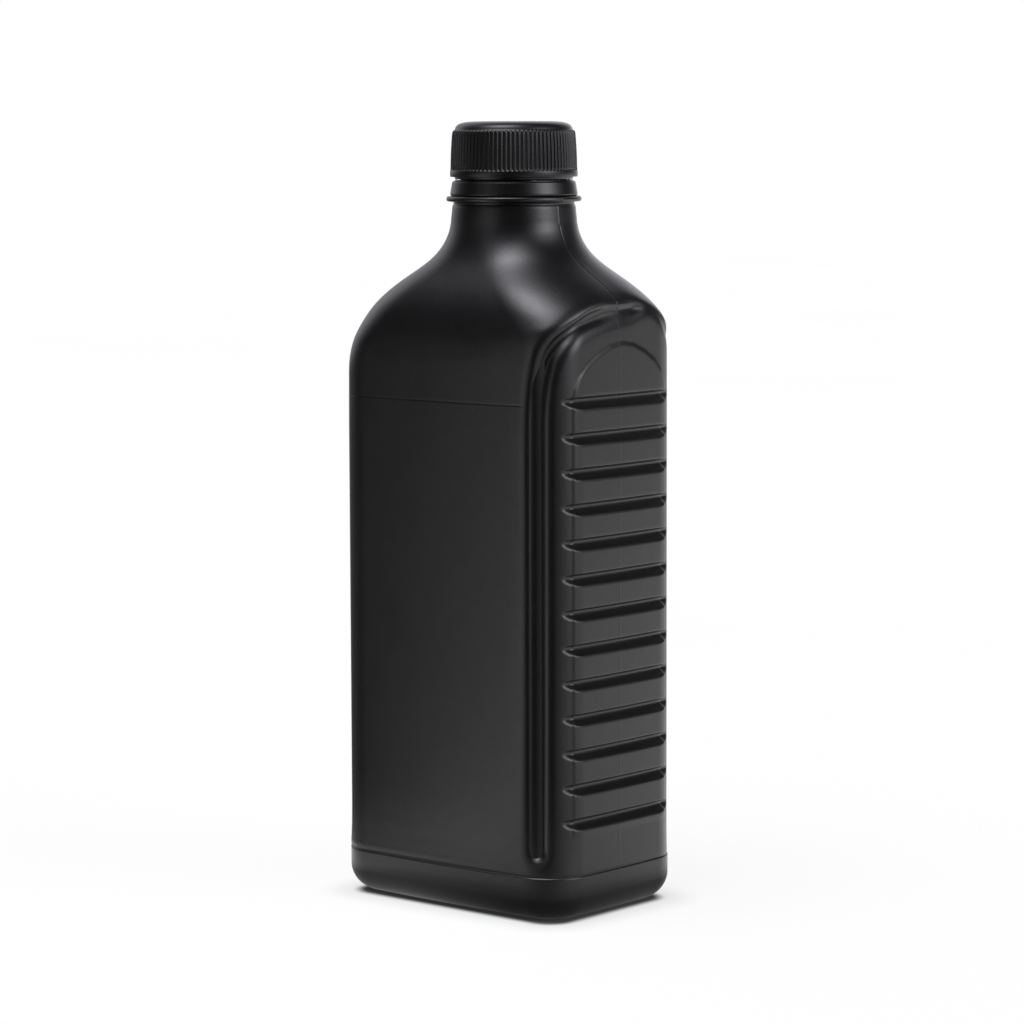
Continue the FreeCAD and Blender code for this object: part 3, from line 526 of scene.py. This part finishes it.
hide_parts("tamper_ring")
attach(tamper, "shell")


# ------------------------------------------------------------------ materials
def node_material(name):
    mat = bpy.data.materials.new(name)
    mat.use_nodes = True
    nt = mat.node_tree
    for nd in list(nt.nodes):
        nt.nodes.remove(nd)
    out = nt.nodes.new("ShaderNodeOutputMaterial")
    bsdf = nt.nodes.new("ShaderNodeBsdfPrincipled")
    nt.links.new(bsdf.outputs[0], out.inputs[0])
    coord = nt.nodes.new("ShaderNodeTexCoord")
    return mat, nt, bsdf, coord


def noise(nt, coord, scale, detail=3.0, rough=0.5, stretch=None):
    nd = nt.nodes.new("ShaderNodeTexNoise")
    nd.inputs["Scale"].default_value = scale
    nd.inputs["Detail"].default_value = detail
    nd.inputs["Roughness"].default_value = rough
    if stretch is None:
        nt.links.new(coord.outputs["Object"], nd.inputs["Vector"])
    else:
        mp = nt.nodes.new("ShaderNodeMapping")
        mp.inputs["Scale"].default_value = stretch
        nt.links.new(coord.outputs["Object"], mp.inputs["Vector"])
        nt.links.new(mp.outputs[0], nd.inputs["Vector"])
    return nd.outputs["Fac"]


def ramp(nt, fac, stops, colour=False):
    nd = nt.nodes.new("ShaderNodeValToRGB")
    el = nd.color_ramp.elements
    while len(el) < len(stops):
        el.new(0.5)
    for e, (pos, v) in zip(el, stops):
        e.position = pos
        e.color = v if colour else (v, v, v, 1)
    nt.links.new(fac, nd.inputs[0])
    return nd.outputs[0]


def maths(nt, op, a, b=0.0):
    nd = nt.nodes.new("ShaderNodeMath")
    nd.operation = op
    for i, v in enumerate((a, b)):
        if isinstance(v, (int, float)):
            nd.inputs[i].default_value = v
        else:
            nt.links.new(v, nd.inputs[i])
    return nd.outputs[0]


def black_plastic(name, dark, light, rough_lo, rough_hi, grain, grain_depth, spec):
    """Black polyethylene: a little uneven in colour and gloss, with the fine grain the mould leaves."""
    mat, nt, bsdf, coord = node_material(name)
    cloud = noise(nt, coord, 34.0, 4.0, 0.55)
    fine = noise(nt, coord, grain, 3.0, 0.6)
    mid = noise(nt, coord, 260.0, 3.0, 0.6)
    mix = maths(nt, "ADD", maths(nt, "MULTIPLY", cloud, 0.7), maths(nt, "MULTIPLY", fine, 0.3))
    col = ramp(nt, mix, [(0.36, (*dark, 1)), (0.64, (*light, 1))], True)
    nt.links.new(col, bsdf.inputs["Base Color"])
    rr = maths(nt, "ADD", maths(nt, "MULTIPLY", cloud, 0.5), maths(nt, "MULTIPLY", mid, 0.5))
    rgh = nt.nodes.new("ShaderNodeMapRange")
    rgh.inputs["From Min"].default_value = 0.35
    rgh.inputs["From Max"].default_value = 0.65
    rgh.inputs["To Min"].default_value = rough_lo
    rgh.inputs["To Max"].default_value = rough_hi
    nt.links.new(rr, rgh.inputs["Value"])
    nt.links.new(rgh.outputs[0], bsdf.inputs["Roughness"])
    bsdf.inputs["Specular IOR Level"].default_value = spec
    bsdf.inputs["IOR"].default_value = 1.5
    b1 = nt.nodes.new("ShaderNodeBump")
    b1.inputs["Strength"].default_value = 1.0
    b1.inputs["Distance"].default_value = grain_depth
    nt.links.new(fine, b1.inputs["Height"])
    b2 = nt.nodes.new("ShaderNodeBump")
    b2.inputs["Strength"].default_value = 1.0
    b2.inputs["Distance"].default_value = 0.00006
    nt.links.new(noise(nt, coord, 95.0, 2.0, 0.5), b2.inputs["Height"])
    nt.links.new(b1.outputs[0], b2.inputs["Normal"])
    nt.links.new(b2.outputs[0], bsdf.inputs["Normal"])
    return mat


shell_mat = black_plastic("satin_black_shell", (0.0040, 0.0041, 0.0043), (0.0064, 0.0065, 0.0068), 0.28, 0.33, 1400.0, 0.000026, 0.5)
cap_mat = black_plastic("satin_black_cap", (0.0040, 0.0040, 0.0042), (0.0062, 0.0063, 0.0065), 0.26, 0.31, 3200.0, 0.000006, 0.42)

foam, nt, bsdf, coord = node_material("white_foam_wad")
cells = nt.nodes.new("ShaderNodeTexVoronoi")
cells.inputs["Scale"].default_value = 2600.0
nt.links.new(coord.outputs["Object"], cells.inputs["Vector"])
col = ramp(nt, noise(nt, coord, 420.0, 3.0), [(0.3, (0.74, 0.73, 0.69, 1)), (0.7, (0.86, 0.85, 0.81, 1))], True)
nt.links.new(col, bsdf.inputs["Base Color"])
nt.links.new(ramp(nt, noise(nt, coord, 700.0, 2.0), [(0.3, 0.55), (0.7, 0.7)]), bsdf.inputs["Roughness"])
bp = nt.nodes.new("ShaderNodeBump")
bp.inputs["Distance"].default_value = 0.00003
nt.links.new(cells.outputs["Distance"], bp.inputs["Height"])
nt.links.new(bp.outputs[0], bsdf.inputs["Normal"])

for ob, mat in ((bottle, shell_mat), (cap, cap_mat), (tamper, cap_mat)):
    ob.data.materials.clear()
    ob.data.materials.append(mat)
for node, mat in (("bottle", shell_mat), ("screw_cap", cap_mat), ("tamper_ring", cap_mat), ("cap_liner", foam)):
    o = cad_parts[node]
    if not o.material_slots:
        o.data.materials.append(mat)
    for s in o.material_slots:
        s.material = mat

# ------------------------------------------------------------------ floor and light
AZ, EL, ROLL, F_PX, DIST = 40.55, 6.15, -0.2, 3631.0, 1.12735
az, el, roll = map(math.radians, (AZ, EL, ROLL))

bpy.ops.mesh.primitive_circle_add(vertices=96, radius=6.0, fill_type="NGON", location=(0, 0, -0.00003))
floor = bpy.context.object
floor.name = "studio_floor"
fmat, nt, bsdf, coord = node_material("pale_floor")
glow = nt.nodes.new("ShaderNodeLightPath").outputs["Is Camera Ray"]
tint = maths(nt, "MULTIPLY", ramp(nt, noise(nt, coord, 3.0), [(0.3, 0.085), (0.7, 0.095)]), glow)
nt.links.new(maths(nt, "ADD", tint, 0.02), bsdf.inputs["Base Color"])
bsdf.inputs["Roughness"].default_value = 0.8
bsdf.inputs["Specular IOR Level"].default_value = 0.0
# overexposed to white, as a lit table is; for every other ray the floor is a painted bounce glow, set to shine back at
# the object and strongest under the lamps at either side
spread = [(-180, 1.3), (-150, 0.1), (-120, 0.12), (-90, 0.05), (-60, 1.35), (-30, 0.0), (0, 0.0), (30, 0.58), (60, 0.77), (90, 1.05), (120, 1.4), (150, 0.7), (180, 1.3)]
place = nt.nodes.new("ShaderNodeSeparateXYZ")
nt.links.new(nt.nodes.new("ShaderNodeNewGeometry").outputs["Position"], place.inputs[0])
ahead = maths(nt, "SUBTRACT", maths(nt, "MULTIPLY", place.outputs[0], math.sin(az)), maths(nt, "MULTIPLY", place.outputs[1], math.cos(az)))
aside = maths(nt, "ADD", maths(nt, "MULTIPLY", place.outputs[0], math.cos(az)), maths(nt, "MULTIPLY", place.outputs[1], math.sin(az)))
turn = maths(nt, "ADD", maths(nt, "DIVIDE", maths(nt, "ARCTAN2", aside, ahead), TAU), 0.5)
reach = maths(nt, "SQRT", maths(nt, "ADD", maths(nt, "MULTIPLY", ahead, ahead), maths(nt, "MULTIPLY", aside, aside)))


def step(start, end, first, last, dist=None):
    m = nt.nodes.new("ShaderNodeMapRange")
    m.interpolation_type = "SMOOTHSTEP"
    for socket, v in (("From Min", start), ("From Max", end), ("To Min", first), ("To Max", last)):
        m.inputs[socket].default_value = v
    nt.links.new(dist or reach, m.inputs["Value"])
    return m.outputs[0]


# painted bounce glow: a brighter band close round the object and the open floor beyond, both set by the turn round the
# camera
clear = step(0.085, 0.15, 0.0, 2.0)
ring = maths(nt, "MULTIPLY", step(0.062, 0.092, 0.25, 1.0), step(0.085, 0.15, 2.0, 0.0))
close = [(-180, 0.8), (-120, 1.4), (-75, 1.8), (-35, 1.05), (0, 0.48), (30, 0.68), (65, 1.0), (100, 1.4), (140, 1.2), (180, 0.8)]
ring = maths(nt, "MULTIPLY", ramp(nt, turn, [((t + 180) / 360, v / 2) for t, v in close]), ring)
painted_bounce_glow = maths(nt, "ADD", maths(nt, "MULTIPLY", ramp(nt, turn, [((t + 180) / 360, v / 2) for t, v in spread]), clear), ring)
# painted contact shadow under the rounded foot: the floor's glow seen by the camera is dimmed by distance from the line
# it stands on
over = [maths(nt, "MAXIMUM", maths(nt, "SUBTRACT", maths(nt, "ABSOLUTE", maths(nt, "SUBTRACT", place.outputs[i], shift)), half), 0.0) for i, shift, half in ((0, 0.0015, 0.034), (1, -0.00175, 0.02025))]
gap = maths(nt, "SQRT", maths(nt, "ADD", maths(nt, "MULTIPLY", over[0], over[0]), maths(nt, "MULTIPLY", over[1], over[1])))
floor_white_painted_shadow = maths(nt, "MULTIPLY", maths(nt, "MULTIPLY", step(0.004, 0.023, 0.78, 1.0, gap), step(0.006, 0.0105, 0.03, 1.0, gap)), 0.875)
bsdf.inputs["Emission Color"].default_value = (1, 1, 1, 1)
nt.links.new(maths(nt, "ADD", maths(nt, "MULTIPLY", glow, floor_white_painted_shadow), maths(nt, "MULTIPLY", maths(nt, "SUBTRACT", 1.0, glow), painted_bounce_glow)), bsdf.inputs["Emission Strength"])
floor.data.materials.append(fmat)

bpy.context.scene.view_settings.view_transform = "Standard"

# soft lights standing round the object: degrees to the camera's right of the object, height in degrees, softness in degrees, strength
LIGHTS = [(60, 17, 11, 4.7), (75, 17, 11, 1.5), (-45, 2, 11, 0.65), (-60, 32, 11, 0.4), (45, 32, 11, 0.5), (60, 32, 11, 0.85), (-44, 58, 10, 0.7), (-80, 50, 9, 0.5),
          (0, 58, 10, 1.1), (-66, 68, 11, 2.8), (-44, 70, 12, 5.4), (-60, 80, 10, 1.2), (165, 10, 16, 1.2), (-145, 10, 16, 0.66), (-145, 38, 16, 0.6)]
world = bpy.data.worlds.new("studio")
bpy.context.scene.world = world
world.use_nodes = True
wn = world.node_tree
bg = wn.nodes["Background"]
where = wn.nodes.new("ShaderNodeTexCoord").outputs["Generated"]
total = None
for turn, height, soft, strength in LIGHTS:
    a, e = math.radians(AZ + turn), math.radians(height)
    k = 1 / math.radians(soft) ** 2
    dot = wn.nodes.new("ShaderNodeVectorMath")
    dot.operation = "DOT_PRODUCT"
    wn.links.new(where, dot.inputs[0])
    dot.inputs[1].default_value = (math.sin(a) * math.cos(e), -math.cos(a) * math.cos(e), math.sin(e))
    spot = maths(wn, "MULTIPLY", maths(wn, "EXPONENT", maths(wn, "MULTIPLY", maths(wn, "SUBTRACT", dot.outputs["Value"], 1.0), k)), strength)
    total = spot if total is None else maths(wn, "ADD", total, spot)
total = maths(wn, "ADD", total, 0.02)
wn.links.new(total, bg.inputs["Strength"])
bg.inputs["Color"].default_value = (0.99, 0.995, 1.06, 1)
backdrop = wn.nodes.new("ShaderNodeBackground")
backdrop.inputs[0].default_value = (1, 1, 1, 1)
path = wn.nodes.new("ShaderNodeLightPath")
pick = wn.nodes.new("ShaderNodeMixShader")
wn.links.new(path.outputs["Is Camera Ray"], pick.inputs[0])
wn.links.new(bg.outputs[0], pick.inputs[1])
wn.links.new(backdrop.outputs[0], pick.inputs[2])
wn.links.new(pick.outputs[0], wn.nodes["World Output"].inputs[0])

# ------------------------------------------------------------------ camera
fwd = Vector((-math.sin(az) * math.cos(el), math.cos(az) * math.cos(el), -math.sin(el)))
right = Vector((math.cos(az), math.sin(az), 0))
up = right.cross(fwd)
target = Vector((0.00319, 0, 0)) + right * (-0.00093) + Vector((0, 0, 0.12022))
loc = target - fwd * DIST
cam_data = bpy.data.cameras.new("camera")
cam = bpy.data.objects.new("camera", cam_data)
bpy.context.scene.collection.objects.link(cam)
cam_data.sensor_fit = "HORIZONTAL"
cam_data.sensor_width = 36.0
cam_data.lens = F_PX / 1024 * 36.0
cam_data.clip_start, cam_data.clip_end = 0.05, 60.0
rx = right * math.cos(roll) + up * math.sin(roll)
uy = -right * math.sin(roll) + up * math.cos(roll)
rot = Matrix((rx, uy, -fwd)).transposed()
cam.matrix_world = Matrix.Translation(loc) @ rot.to_4x4()
bpy.context.scene.camera = cam
